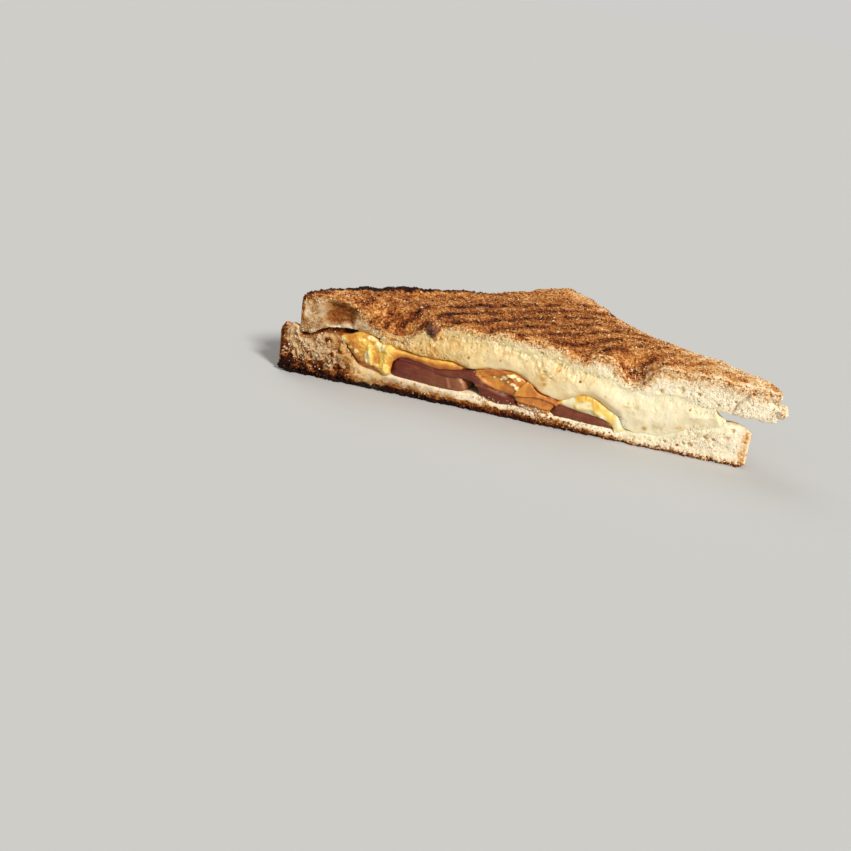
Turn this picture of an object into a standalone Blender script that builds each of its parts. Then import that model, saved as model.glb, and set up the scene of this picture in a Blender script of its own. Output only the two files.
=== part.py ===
"""Half of a toasted cheese sandwich, cut corner to corner, lying on its lower slice.

The cut face looks along -Y and runs along X. The right-angled corner of the bread points along +Y.
The half is built as it is made: two slices of square tin bread, a sheet of orange cheese with slices of
smoked sausage pressed into it, and a layer of white cheese that melted and filled what was left.
The hot press and then the knife squeezed it, so each layer follows the one below it.

Every layer is an outline, divided by the same lines into small fields and then given thickness between
two surfaces, so that neighbouring layers match all over.

Lengths are millimetres. The finished meshes are scaled to metres and set down on the origin.
"""

import math

import bmesh
import bpy
from mathutils import Matrix, Vector

MM = 0.001

# Tin bread: a square slice with rounded corners, halved along its diagonal.
SLICE_SIDE = 118.0
SLICE_CORNER = 9.0
LOWER_SLICE_SHIFT = -6.5  # the slices slid apart along the cut
DIAGONAL = SLICE_SIDE / math.sqrt(2)
CORNER_CENTRE = DIAGONAL - SLICE_CORNER * math.sqrt(2)
CORNER_STEPS = 4  # straight pieces in each eighth of a turn

# The shared dividing lines: evenly spaced along the cut, and wider apart away from it.
COLUMN = 3.0
FIRST_ROW, ROW_GROWTH, ROWS = 2.4, 1.13, 13

# Heights away from the knife, at the crust rim and in the middle of the bread.
LOWER_CRUMB_RIM, LOWER_CRUMB_MIDDLE = 12.2, 7.5
UPPER_CRUMB_RIM, UPPER_CRUMB_MIDDLE = 15.4, 18.5
LEFT_CLOSING, CLOSING_FROM, CLOSING_TO = 1.25, 20.0, 55.0  # the left crusts are nearly pressed shut
TOAST_RIM, TOAST_MIDDLE = 27.0, 28.6
CORNER_RISE, CORNER_FROM, CORNER_TO = 2.9, 50.0, 74.0  # the back corner curls up
LEFT_RISE, LEFT_FROM, LEFT_TO = 3.4, 42.0, 62.0  # and so does the left tip
LEG_SAG = 1.6  # the crusts sag halfway between the corners
RIM_START, RIM_END = 5.0, 22.0  # how far in from the rim the bread goes from thick to pressed
KNIFE_REACH = 16.0  # how far in from the cut the knife squeezed the crumb
EDGE_ROUND, EDGE_WIDTH = 1.1, 3.0

# Height of each boundary between layers along the cut: (place along X, height).
LOWER_CRUMB_AT_CUT = (
    (-87, 15.4), (-84, 16.6), (-80, 13.4), (-76, 13.8), (-71, 16.2), (-66, 16.4), (-56, 7.0), (-45, 6.3),
    (-25, 5.4), (-16, 6.2), (-9, 4.6), (10, 4.2), (28, 3.8), (43, 6.0), (56, 10.8), (66, 13.6), (74, 12.6),
)
UPPER_CRUMB_AT_CUT = (
    (-81, 14.6), (-76, 15.0), (-70, 18.4), (-61, 19.6), (-50, 18.0), (-42, 18.0), (-33, 21.6), (-26, 23.4),
    (-12, 24.6), (0, 22.4), (8, 22.8), (16, 20.6), (24, 19.6), (33, 16.9), (40, 16.8), (47, 18.4),
    (58, 16.6), (81, 16.2),
)
ORANGE_AT_CUT = (
    (-68, 16.6), (-61, 17.4), (-52, 15.8), (-43, 15.8), (-32, 15.2), (-26, 15.8), (-20, 13.8), (-13, 15.6),
    (-5, 16.7), (0, 14.2), (6, 10.8), (12, 9.6), (18, 13.2), (24, 12.6), (29, 9.4), (34, 5.0),
)
# Where the knife crushed the toasted top down at the cut: (place along X, half width, depth).
CRUSHED = (
    (-81, 8.0, 1.6), (-46, 9.4, 9.6), (-17, 4.0, 1.9), (15.5, 4.5, 3.6), (33.8, 4.9, 9.4), (51, 3.0, 1.4),
)
CRUSH_REACH = 15.0

# Melted cheese: how far each sheet reaches, how proud of the cut it stands, and its uneven edge.
WHITE = {"left": -51.0, "right": 64.0, "depth": 61.0, "proud": 1.0, "wave": 0.030, "waves": 11}
ORANGE = {"left": -65.0, "right": 33.5, "depth": 46.0, "proud": 0.6, "wave": 0.035, "waves": 9}
MELT_ROUNDNESS = 1.25  # 1 would be straight from tip to corner, 2 an ellipse
MELT_STEPS = 30
ORANGE_THICKNESS, ORANGE_SHARE = 3.0, 0.42  # share of the room between the slices, where they close
LEAST_THICKNESS = 0.7
ROOM_FOR_WHITE = 1.9

# Smoked sausage slices: centre, radius, thickness at the left and at the right, and the slice it lies over.
SAUSAGES = {
    "sausage_left": {"x": -33.0, "y": 10.2, "radius": 15.6, "left": 5.3, "right": 3.9, "over": None},
    "sausage_middle": {"x": -23.5, "y": 8.0, "radius": 21.9, "left": 0.9, "right": 3.0, "over": "sausage_left"},
    "sausage_right": {"x": 20.0, "y": 14.6, "radius": 17.2, "left": 3.4, "right": 2.4, "over": None},
}
SAUSAGE_STEPS = 28
UNEVEN_FROM, UNEVEN_TO, UNEVEN_BACK = -0.45, 0.2, 0.9  # where a slice changes thickness, in radii
OVER_SAUSAGE = 1.9  # orange cheese left over a sausage slice
SLOPE_START, SLOPE_END = 0.8, 4.5  # how far round a slice what lies on it slopes down
ROOM_AHEAD = 6.0  # a cutter reaches this far out of the cut face

GAP = 0.35  # air between touching pieces
TIP_CRUMB = {"at": (79.8, 2.4, 20.6), "size": (3.3, 2.9, 2.1)}

# Finishes: name, base colour and roughness.
TOAST = ("toasted_bread", (0.62, 0.40, 0.20), 0.85)
WHITE_CHEESE = ("white_cheese", (0.90, 0.85, 0.62), 0.35)
ORANGE_CHEESE = ("orange_cheese", (0.86, 0.52, 0.12), 0.30)
SAUSAGE = ("smoked_sausage", (0.42, 0.14, 0.11), 0.45)


def smooth(value, start, end):
    """0 before start, 1 after end, with an even curve between."""
    t = min(1.0, max(0.0, (value - start) / (end - start)))
    return t * t * (3 - 2 * t)


def mix(a, b, share):
    return a + (b - a) * share


def along(points, x):
    """The height of a boundary at x: a smooth line through its points."""
    if x <= points[0][0]:
        return points[0][1]
    for (x0, z0), (x1, z1) in zip(points, points[1:]):
        if x <= x1:
            return mix(z0, z1, smooth(x, x0, x1))
    return points[-1][1]


def rim_distance(x, y):
    """How far a place on a slice is from its two crusts."""
    return (DIAGONAL - abs(x) - y) / math.sqrt(2)


def edge_fall(x, y):
    """The rounding of a slice's crust edges."""
    return EDGE_ROUND * (1 - smooth(rim_distance(x, y), 0.5, EDGE_WIDTH))


def closing(x):
    """How far each slice's left crust was pressed towards the other."""
    return LEFT_CLOSING * smooth(-x, CLOSING_FROM, CLOSING_TO)


def lower_crumb(x, y):
    """Upper surface of the lower slice."""
    y = max(y, 0.0)
    rim_height = LOWER_CRUMB_RIM + closing(x)
    rim = rim_distance(x - LOWER_SLICE_SHIFT, y)
    inside = mix(rim_height, LOWER_CRUMB_MIDDLE, smooth(rim, RIM_START, RIM_END))
    return mix(along(LOWER_CRUMB_AT_CUT, x), inside, smooth(y, 0, KNIFE_REACH))


def upper_crumb(x, y):
    """Lower surface of the upper slice."""
    y = max(y, 0.0)
    rim_height = UPPER_CRUMB_RIM - closing(x)
    inside = mix(rim_height, UPPER_CRUMB_MIDDLE, smooth(rim_distance(x, y), RIM_START, RIM_END))
    return mix(along(UPPER_CRUMB_AT_CUT, x), inside, smooth(y, 0, KNIFE_REACH))


def toast(x, y):
    """Upper surface of the sandwich: pressed nearly flat, and crushed here and there along the cut."""
    rim = TOAST_RIM + CORNER_RISE * smooth(y, CORNER_FROM, CORNER_TO)
    rim += LEFT_RISE * smooth(-x, LEFT_FROM, LEFT_TO)
    rim -= LEG_SAG * math.sin(math.pi * min(1.0, max(0.0, y / DIAGONAL)))
    level = mix(rim, TOAST_MIDDLE, smooth(rim_distance(x, y), 0, RIM_END))
    crushed = sum(depth * math.exp(-(((x - at) / width) ** 2)) for at, width, depth in CRUSHED)
    return level - crushed * (1 - smooth(y, 0, CRUSH_REACH)) - edge_fall(x, y)


def sausage_thickness(slice_, x, y):
    """A slice of sausage, cut unevenly. It changes thickness towards the right and away from the knife."""
    way = (x - slice_["x"] + UNEVEN_BACK * max(y, 0.0)) / slice_["radius"]
    return mix(slice_["left"], slice_["right"], smooth(way, UNEVEN_FROM, UNEVEN_TO))


def spread(slice_, x, y):
    """1 over a sausage slice, falling to 0 round it."""
    away = math.hypot(x - slice_["x"], y - slice_["y"]) - slice_["radius"]
    return 1 - smooth(away, SLOPE_START, SLOPE_END)


def sausage_bed(slice_, x, y):
    """What a sausage slice lies on: the lower slice of bread, and perhaps another slice of sausage."""
    if not slice_["over"]:
        return lower_crumb(x, y)
    other = SAUSAGES[slice_["over"]]
    return lower_crumb(x, y) + (sausage_thickness(other, x, y) + GAP) * spread(other, x, y)


def sausage_under(slice_, x, y):
    return above(lambda *place: sausage_bed(slice_, *place), x, y)


def sausage_cover(x, y):
    """How far over the lower slice the sausage and the cheese on it reach."""
    heights = [0.0]
    for slice_ in SAUSAGES.values():
        lift = sausage_bed(slice_, x, y) - lower_crumb(x, y) + sausage_thickness(slice_, x, y)
        heights.append((lift + OVER_SAUSAGE) * spread(slice_, x, y))
    return max(heights)


def orange_surface(x, y):
    """Boundary between the orange and the white cheese. It stays clear of the sausage below it."""
    y = max(y, 0.0)
    bed, roof = lower_crumb(x, y), upper_crumb(x, y)
    inside = bed + max(min(ORANGE_THICKNESS, ORANGE_SHARE * (roof - bed)), sausage_cover(x, y))
    height = mix(along(ORANGE_AT_CUT, x), inside, smooth(y, 0, KNIFE_REACH))
    return min(max(height, bed + max(LEAST_THICKNESS, sausage_cover(x, y))), roof - ROOM_FOR_WHITE)


def above(surface, x, y):
    """Just clear of a surface: over its highest point within half a field."""
    reach = COLUMN / 2
    around = ((0, 0), (reach, 0), (-reach, 0), (0, reach), (0, -reach))
    return GAP + max(surface(x + dx, y + dy) for dx, dy in around)


def below(surface, x, y):
    """Just clear of a surface: under its lowest point within half a field."""
    return -above(lambda *place: -surface(*place), x, y)


def divide(shape):
    """Cuts a flat outline along the shared dividing lines, first across X and then across Y."""
    count = math.ceil(DIAGONAL / COLUMN)
    columns = [(COLUMN * k, 0.0, 0.0) for k in range(-count, count + 1)]
    rows = [(0.0, FIRST_ROW * (ROW_GROWTH**k - 1) / (ROW_GROWTH - 1), 0.0) for k in range(ROWS)]
    for places, across in ((columns, (1, 0, 0)), (rows, (0, 1, 0))):
        for place in places:
            everything = shape.verts[:] + shape.edges[:] + shape.faces[:]
            bmesh.ops.bisect_plane(shape, geom=everything, dist=0.02, plane_co=place, plane_no=across)


def layer(name, outline, lower, upper, finish):
    """A closed layer within an outline, between two surfaces."""
    shape = bmesh.new()
    shape.faces.new([shape.verts.new((x, y, 0.0)) for x, y in outline])
    divide(shape)
    raised = bmesh.ops.extrude_face_region(shape, geom=shape.faces[:])["geom"]
    over = {item for item in raised if isinstance(item, bmesh.types.BMVert)}
    for vertex in shape.verts:
        surface = upper if vertex in over else lower
        vertex.co.z = surface(vertex.co.x, vertex.co.y)
    bmesh.ops.recalc_face_normals(shape, faces=shape.faces)
    return to_object(name, shape, finish)


def to_object(name, shape, finish):
    """A bmesh in millimetres becomes a named object in metres, with its finish."""
    bmesh.ops.triangulate(shape, faces=shape.faces)
    shape.transform(Matrix.Scale(MM, 4))
    mesh = bpy.data.meshes.new(name)
    shape.to_mesh(mesh)
    shape.free()
    mesh.shade_smooth()
    mesh.set_sharp_from_angle(angle=math.radians(50))
    thing = bpy.data.objects.new(name, mesh)
    bpy.context.scene.collection.objects.link(thing)
    mesh.materials.append(material(*finish))
    return thing


def material(name, colour, roughness):
    found = bpy.data.materials.get(name)
    if found:
        return found
    made = bpy.data.materials.new(name)
    made.use_nodes = True
    surface = made.node_tree.nodes["Principled BSDF"]
    surface.inputs["Base Color"].default_value = (*colour, 1)
    surface.inputs["Roughness"].default_value = roughness
    surface.inputs["Metallic"].default_value = 0.0
    return made


def boolean(thing, other, operation):
    """Joins other to thing or cuts it away, and removes other."""
    modifier = thing.modifiers.new(operation.lower(), "BOOLEAN")
    modifier.operation = operation
    modifier.object = other
    graph = bpy.context.evaluated_depsgraph_get()
    result = bpy.data.meshes.new_from_object(thing.evaluated_get(graph))
    thing.modifiers.remove(modifier)
    result.name = thing.data.name
    thing.data = result
    bpy.data.objects.remove(other)


def arc(centre, radius, start, end, steps):
    """Points along part of a circle, from one angle to another in degrees."""
    angles = [math.radians(mix(start, end, k / steps)) for k in range(steps + 1)]
    return [(centre[0] + radius * math.cos(a), centre[1] + radius * math.sin(a)) for a in angles]


def slice_outline(shift):
    """A halved slice of bread: the cut, and three rounded corners."""
    outline = arc((shift + CORNER_CENTRE, 0), SLICE_CORNER, 0, 45, CORNER_STEPS)
    outline += arc((shift, CORNER_CENTRE), SLICE_CORNER, 45, 135, 2 * CORNER_STEPS)
    outline += arc((shift - CORNER_CENTRE, 0), SLICE_CORNER, 135, 180, CORNER_STEPS)
    return outline


def melt_outline(melt):
    """A melted sheet: a blunt wavy triangle behind the cut, and a straight front just proud of it."""
    outline = []
    for k in range(MELT_STEPS + 1):
        angle = math.pi * k / MELT_STEPS
        wavy = 1 + melt["wave"] * math.sin(melt["waves"] * angle)
        side = melt["right"] if 2 * k < MELT_STEPS else -melt["left"]
        x = math.copysign(abs(math.cos(angle)) ** (2 / MELT_ROUNDNESS), math.cos(angle))
        y = math.sin(angle) ** (2 / MELT_ROUNDNESS) if 0 < k < MELT_STEPS else 0.0
        outline.append((side * wavy * x, melt["depth"] * wavy * y))
    return outline + [(melt["left"], -melt["proud"]), (melt["right"], -melt["proud"])]


def lower_slice():
    """The lower slice: flat underneath, where it was pressed on the hot plate, with rounded crust edges."""

    def rounding(x, y):
        return edge_fall(x - LOWER_SLICE_SHIFT, y)

    return layer(
        "bread_lower", slice_outline(LOWER_SLICE_SHIFT), rounding,
        lambda x, y: lower_crumb(x, y) - rounding(x, y), TOAST,
    )


def upper_slice():
    """The upper slice, with a torn lump of crumb that sticks out of its right tip."""
    bread = layer(
        "bread_upper", slice_outline(0.0), lambda x, y: upper_crumb(x, y) + edge_fall(x, y), toast, TOAST,
    )
    lump = bmesh.new()
    place = Matrix.Translation(TIP_CRUMB["at"]) @ Matrix.Diagonal((*TIP_CRUMB["size"], 1))
    bmesh.ops.create_icosphere(lump, subdivisions=2, radius=1, matrix=place)
    boolean(bread, to_object("tip_crumb", lump, TOAST), "UNION")
    return bread


def sausage(name, slice_):
    """A round slice of sausage that the knife cut through."""
    below_centre = math.degrees(math.asin(slice_["y"] / slice_["radius"]))
    outline = arc(
        (slice_["x"], slice_["y"]), slice_["radius"], -below_centre, 180 + below_centre, SAUSAGE_STEPS,
    )
    return layer(
        name, outline, lambda x, y: sausage_under(slice_, x, y),
        lambda x, y: sausage_under(slice_, x, y) + sausage_thickness(slice_, x, y), SAUSAGE,
    )


def sausage_room(slice_):
    """The room that a sausage slice takes up in the cheese, a gap wider than the slice all round."""
    reach = slice_["radius"] + GAP
    below_centre = math.degrees(math.asin(slice_["y"] / reach))
    outline = arc((slice_["x"], slice_["y"]), reach, -below_centre, 180 + below_centre, SAUSAGE_STEPS)
    outline += [(outline[-1][0], -ROOM_AHEAD), (outline[0][0], -ROOM_AHEAD)]

    def over(x, y):
        return sausage_under(slice_, x, y) + sausage_thickness(slice_, x, y) + GAP

    return layer("room", outline, lambda x, y: 0.0, over, SAUSAGE)


def orange_cheese():
    """The orange cheese lies on the lower slice and over the sausage."""
    sheet = layer(
        "cheese_orange", melt_outline(ORANGE),
        lambda x, y: above(lower_crumb, x, y),
        lambda x, y: max(orange_surface(x, y), above(lower_crumb, x, y) + LEAST_THICKNESS),
        ORANGE_CHEESE,
    )
    for slice_ in SAUSAGES.values():
        boolean(sheet, sausage_room(slice_), "DIFFERENCE")
    return sheet


def white_cheese():
    """The white cheese fills the space between the orange cheese and the upper slice."""

    def bed(x, y):
        """What the white cheese lies on: the orange cheese, and past its end the lower slice."""
        past_end = smooth(x, ORANGE["right"] - 1.0, ORANGE["right"] + 3.0)
        return mix(orange_surface(x, y), lower_crumb(x, y) + sausage_cover(x, y), past_end)

    def under(x, y):
        return above(bed, x, y)

    return layer(
        "cheese_white", melt_outline(WHITE), under,
        lambda x, y: max(below(upper_crumb, x, y), under(x, y) + LEAST_THICKNESS), WHITE_CHEESE,
    )


def set_on_origin(things):
    """Moves the sandwich so that the origin is under the middle of its box."""
    corners = [v.co for thing in things for v in thing.data.vertices]
    low = Vector(min(c[i] for c in corners) for i in range(3))
    high = Vector(max(c[i] for c in corners) for i in range(3))
    place = Vector(((low.x + high.x) / 2, (low.y + high.y) / 2, low.z))
    for thing in things:
        thing.data.transform(Matrix.Translation(-place))


def build():
    for thing in list(bpy.data.objects):
        bpy.data.objects.remove(thing)
    things = [lower_slice(), upper_slice()]
    things += [sausage(name, slice_) for name, slice_ in SAUSAGES.items()]
    things += [orange_cheese(), white_cheese()]
    set_on_origin(things)


build()
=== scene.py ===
"""Half of a griddled cheese sandwich, dressed around its solid model.

The sections follow the sandwich as it is put together: the lower slice, the smoked sausage, the orange and
the white cheese, the upper slice, and then the crumbs, specks and drops that are left on it.
Shapes are worked in millimetres, measured from the middle of the upper slice's cut: along it, in from it,
and up from the surface that the sandwich lies on. A place on the cut face is given as (along, up).
"""

import math
import random
from contextlib import contextmanager
from functools import reduce

import bmesh
import bpy
import numpy as np
from mathutils import Euler, Matrix, Vector
from mathutils.bvhtree import BVHTree


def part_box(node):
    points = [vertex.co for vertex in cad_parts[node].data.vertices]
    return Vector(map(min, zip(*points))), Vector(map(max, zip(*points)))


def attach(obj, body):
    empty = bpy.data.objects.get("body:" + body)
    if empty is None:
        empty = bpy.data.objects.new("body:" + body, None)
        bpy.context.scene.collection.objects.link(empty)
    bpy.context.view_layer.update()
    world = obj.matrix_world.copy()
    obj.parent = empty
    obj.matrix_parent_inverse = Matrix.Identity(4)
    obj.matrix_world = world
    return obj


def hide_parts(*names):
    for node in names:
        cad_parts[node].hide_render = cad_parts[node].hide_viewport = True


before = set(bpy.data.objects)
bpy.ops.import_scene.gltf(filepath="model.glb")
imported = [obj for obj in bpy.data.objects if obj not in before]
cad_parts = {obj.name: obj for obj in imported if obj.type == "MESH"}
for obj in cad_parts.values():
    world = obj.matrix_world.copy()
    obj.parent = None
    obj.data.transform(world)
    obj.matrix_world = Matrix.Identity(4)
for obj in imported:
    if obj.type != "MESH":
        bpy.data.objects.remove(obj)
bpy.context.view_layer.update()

# ---------------------------------------------------------------------------------------------------------
# The sandwich lies on a pale table top, under soft light from the right, and is seen from a little above.
# The slices slid apart along the cut, so the upper slice's middle is to the right of the lower one's.
# ---------------------------------------------------------------------------------------------------------
MM = 0.001
SLID = 6.5
lower_low, lower_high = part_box("bread_lower")
cut_middle = Vector(((lower_low.x + lower_high.x) / 2 + SLID * MM, lower_low.y, 0.0))

EYE = Vector((43.8, -367.6, 129.5)) * MM
LOOK_DOWN, LOOK_LEFT, HEAD_TILT = math.radians(20.2), math.radians(11.57), math.radians(8.22)


def new_object(name, data):
    """An object that is put straight into the scene."""
    made = bpy.data.objects.new(name, data)
    bpy.context.scene.collection.objects.link(made)
    return made


@contextmanager
def shaped(mesh):
    """Opens a mesh to be worked on, and puts the result back."""
    shape = bmesh.new()
    shape.from_mesh(mesh)
    yield shape
    shape.to_mesh(mesh)
    shape.free()


camera = new_object("camera", bpy.data.cameras.new("camera"))
bpy.context.scene.camera = camera
camera.data.lens = 50
camera.data.clip_start, camera.data.clip_end = 0.02, 2000
camera.matrix_world = (
    Matrix.Translation(cut_middle + EYE)
    @ Matrix.Rotation(LOOK_LEFT, 4, "Z")
    @ Matrix.Rotation(math.pi / 2 - LOOK_DOWN, 4, "X")
    @ Matrix.Rotation(HEAD_TILT, 4, "Z")
)


def far_light(name, way, strength, softness, colour=(1, 1, 1)):
    """A distant lamp that shines from a direction. Its softness is how wide it looks, in degrees."""
    lamp = bpy.data.lights.new(name, "SUN")
    lamp.energy, lamp.angle, lamp.color = strength, math.radians(softness), colour
    light = new_object(name, lamp)
    light.matrix_world = Vector(way).to_track_quat("Z", "Y").to_matrix().to_4x4()


far_light("key", (0.62, -0.62, 0.66), 3.4, 12, (1.0, 0.97, 0.92))
far_light("back", (-0.55, 0.6, 0.75), 0.8, 40, (0.96, 0.98, 1.0))

world = bpy.data.worlds.new("studio")
bpy.context.scene.world = world
world.use_nodes = True
studio = world.node_tree
sky = studio.nodes["Background"]
sky.inputs["Color"].default_value = (1.0, 0.93, 0.82, 1)
sky.inputs["Strength"].default_value = 0.3
backdrop = studio.nodes.new("ShaderNodeBackground")
backdrop.inputs["Color"].default_value = (1.0, 0.985, 0.96, 1)
backdrop.inputs["Strength"].default_value = 0.62
seen = studio.nodes.new("ShaderNodeLightPath").outputs["Is Camera Ray"]
either = studio.nodes.new("ShaderNodeMixShader")
studio.links.new(seen, either.inputs[0])
studio.links.new(sky.outputs[0], either.inputs[1])
studio.links.new(backdrop.outputs[0], either.inputs[2])
studio.links.new(either.outputs[0], studio.nodes["World Output"].inputs["Surface"])
bpy.context.scene.view_settings.view_transform = "Standard"

table = bpy.data.meshes.new("table_top")
with shaped(table) as shape:
    bmesh.ops.create_grid(shape, x_segments=1, y_segments=1, size=1000)
floor = new_object("table_top", table)
pale = bpy.data.materials.new("pale_table")
pale.use_nodes = True
matt = pale.node_tree.nodes["Principled BSDF"].inputs
matt["Base Color"].default_value = (0.555, 0.565, 0.57, 1)
matt["Roughness"].default_value = 0.9
matt["Specular IOR Level"].default_value = 0.0
table.materials.append(pale)

# ---------------------------------------------------------------------------------------------------------
# Lower slice of square tin bread: dry foamy crumb at the cut, a brown rind on its two outer sides, and a
# scorched lower face. It was sawn through by the knife, so that the crumb is open and ragged at the cut.
# ---------------------------------------------------------------------------------------------------------
BREAD_SKIN = 0.9  # the grid that the bread is skinned with, halved twice at the cut
SLICE_REACH = 83.4  # from the middle of the cut to where the two rinds would meet
CUT_DEPTH = 1.9  # how far in from the cut the finest skin reaches


def soften(shape, corners):
    """Moves corners halfway to the middle of the ones around them."""
    every_way = {"use_axis_x": True, "use_axis_y": True, "use_axis_z": True}
    bmesh.ops.smooth_vert(shape, verts=corners, factor=0.5, **every_way)


def even_skin(piece, skin):
    """Gives a piece small even faces of about the same size, and softens their steps."""
    remesh = piece.modifiers.new("even skin", "REMESH")
    remesh.mode, remesh.voxel_size = "VOXEL", skin * MM
    graph = bpy.context.evaluated_depsgraph_get()
    skinned = bpy.data.meshes.new_from_object(piece.evaluated_get(graph))
    piece.modifiers.clear()
    piece.data = skinned
    with shaped(skinned) as shape:
        soften(shape, shape.verts)
    skinned.name = piece.name
    skinned.shade_smooth()


def sculptable(name, node, skin):
    """A copy of a solid, skinned with small even faces that can be pushed about."""
    shape = bmesh.new()
    shape.from_mesh(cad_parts[node].data)
    bmesh.ops.remove_doubles(shape, verts=shape.verts, dist=1e-6)
    plain = bpy.data.meshes.new(name)
    shape.to_mesh(plain)
    shape.free()
    piece = new_object(name, plain)
    even_skin(piece, skin)
    return piece


def refine(piece, wanted):
    """Halves the faces between the wanted points of a piece."""
    with shaped(piece.data) as shape:
        near = [edge for edge in shape.edges if all(wanted[corner.index] for corner in edge.verts)]
        bmesh.ops.subdivide_edges(shape, edges=near, cuts=1, use_grid_fill=True)
    piece.data.shade_smooth()


def refine_cut(piece, times):
    for _ in range(times):
        refine(piece, places(piece)[:, 1] < CUT_DEPTH)


def places(piece):
    """Where the points of a piece are: along the cut, in from it and up, in millimetres."""
    flat = np.empty(len(piece.data.vertices) * 3, np.float32)
    piece.data.vertices.foreach_get("co", flat)
    return (flat.reshape(-1, 3).astype(float) - np.array(cut_middle)) / MM


def facings(piece):
    """Which way the surface faces at each point."""
    flat = np.empty(len(piece.data.vertices) * 3, np.float32)
    piece.data.vertex_normals.foreach_get("vector", flat)
    return flat.reshape(-1, 3).astype(float)


def place(piece, points):
    """Puts the points of a piece where they are given, in millimetres."""
    flat = (points * MM + np.array(cut_middle)).astype(np.float32).ravel()
    piece.data.vertices.foreach_set("co", flat)
    piece.data.update()


def paint(piece, **masks):
    """Keeps values from 0 to 1 for each point of a piece, which its material reads by name."""
    for name, values in masks.items():
        layer = piece.data.attributes.new(name, "FLOAT", "POINT")
        layer.data.foreach_set("value", np.clip(values, 0, 1).astype(np.float32))


def smooth(values, start, end):
    """0 before start, 1 after end, with an even curve between."""
    t = np.clip((values - start) / (end - start), 0, 1)
    return t * t * (3 - 2 * t)


def fade(values, start, end):
    """1 before start, 0 after end."""
    return 1 - smooth(values, start, end)


def most(*values):
    """The highest of some values at each point."""
    return reduce(np.maximum, values)


def chance_at(cells, seed):
    """An even random number from 0 to 1 for each cell of a lattice."""
    x, y, z = cells[..., 0], cells[..., 1], cells[..., 2]
    mixed = (x * 73856093 ^ y * 19349663 ^ z * 83492791 ^ (seed + 1) * 668265263) & 0x7FFFFFFF
    mixed = (mixed ^ mixed >> 13) * 1274126177 & 0x7FFFFFFF
    mixed = (mixed ^ mixed >> 15) * 971215073 & 0x7FFFFFFF
    return (mixed ^ mixed >> 14) / 0x7FFFFFFF


def drift(points, size, seed=0):
    """Soft noise between about -1 and 1, with lumps of about a size. Each seed gives other lumps."""
    where = points / size + 19.7 * seed
    cell = np.floor(where).astype(np.int64)
    inside = where - cell
    ease = inside**3 * (inside * (inside * 6 - 15) + 10)
    total = np.zeros(len(points))
    for corner in np.ndindex(2, 2, 2):
        step = np.array(corner)
        slope = np.stack([chance_at(cell + step, 7 * seed + k) for k in range(3)], axis=-1) * 2 - 1
        weight = np.prod(np.where(step, ease, 1 - ease), axis=-1)
        total += weight * np.sum(slope * (inside - step), axis=-1)
    return 1.9 * total


def rough(points, size, seed=0):
    """Noise of three sizes at once, the largest as given."""
    return sum(0.6**k * drift(points, size / 2.1**k, seed + 31 * k) for k in range(3))


def dots(points, size, seed):
    """For dots strewn about a size apart: how far the nearest is, in sizes, and its own random number."""
    where = points / size + 7.3 * seed
    cell = np.floor(where).astype(np.int64)
    nearest, own = np.full(len(points), 9.0), np.zeros(len(points))
    for around in np.ndindex(3, 3, 3):
        there = cell + np.array(around) - 1
        dot = there + np.stack([chance_at(there, 5 * seed + k) for k in range(3)], axis=-1)
        away = np.linalg.norm(where - dot, axis=-1)
        closer = away < nearest
        nearest = np.where(closer, away, nearest)
        own = np.where(closer, chance_at(there, 5 * seed + 3), own)
    return nearest, own


def pores(points, size, share, widest, seed):
    """Air holes about a size apart, where only a share of them is open: 1 in the middle of a hole."""
    bent = points * (1, 1, 1.5) + 0.25 * size * drift(points, 0.6 * size, seed)[:, None]
    away, own = dots(bent, size, seed)
    width = widest * (0.5 + 0.5 * own / share)
    return np.where(own < share, np.clip(1 - (away / width) ** 2, 0, 1), 0)


STRIP, STRIPS = 0.6, 300  # the cut face is looked at in upright strips of this width


def cut_edges(points, cut, span=1):
    """The lowest and highest point of the cut face below and above each point, evened over strips beside."""
    on_cut = points[cut > 0.6]
    strips = np.floor(on_cut[:, 0] / STRIP).astype(int) + STRIPS // 2
    low, high = np.full(STRIPS, np.inf), np.full(STRIPS, -np.inf)
    np.minimum.at(low, strips, on_cut[:, 2])
    np.maximum.at(high, strips, on_cut[:, 2])
    met = np.flatnonzero(high > -np.inf)
    centres = (met + 0.5 - STRIPS / 2) * STRIP
    even = np.ones(2 * span + 1) / (2 * span + 1)
    low_line = np.convolve(np.pad(low[met], span, "edge"), even, "valid")
    high_line = np.convolve(np.pad(high[met], span, "edge"), even, "valid")
    return np.interp(points[:, 0], centres, low_line), np.interp(points[:, 0], centres, high_line)


def spot(points, at, size, seed=0, ragged=0.35):
    """A soft-edged patch on the cut face: 1 inside and 0 outside. Its size is its half width and height."""
    off = (points[:, (0, 2)] - at) / size
    away = np.hypot(off[:, 0], off[:, 1]) + ragged * drift(points, max(size) * 0.7, seed)
    return fade(away, 0.55, 1.15)


def stroke(points, line, width, seed=0, ragged=0.3):
    """A soft line on the cut face through a few places: 1 along it, fading to 0 within its width."""
    wander = np.stack([drift(points, 2.0, seed), drift(points, 2.0, seed + 1)], -1)
    flat = points[:, (0, 2)] + ragged * wander
    nearest = np.full(len(points), 99.0)
    for start, end in zip(line, line[1:]):
        start, along = np.array(start), np.subtract(end, start)
        share = np.clip((flat - start) @ along / (along @ along), 0, 1)
        nearest = np.minimum(nearest, np.linalg.norm(flat - start - share[:, None] * along, axis=-1))
    return np.exp(-((nearest / width) ** 2))


STRIPE_GAP, STRIPE_FIRST, STRIPES = 8.2, -37.0, 13


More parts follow.
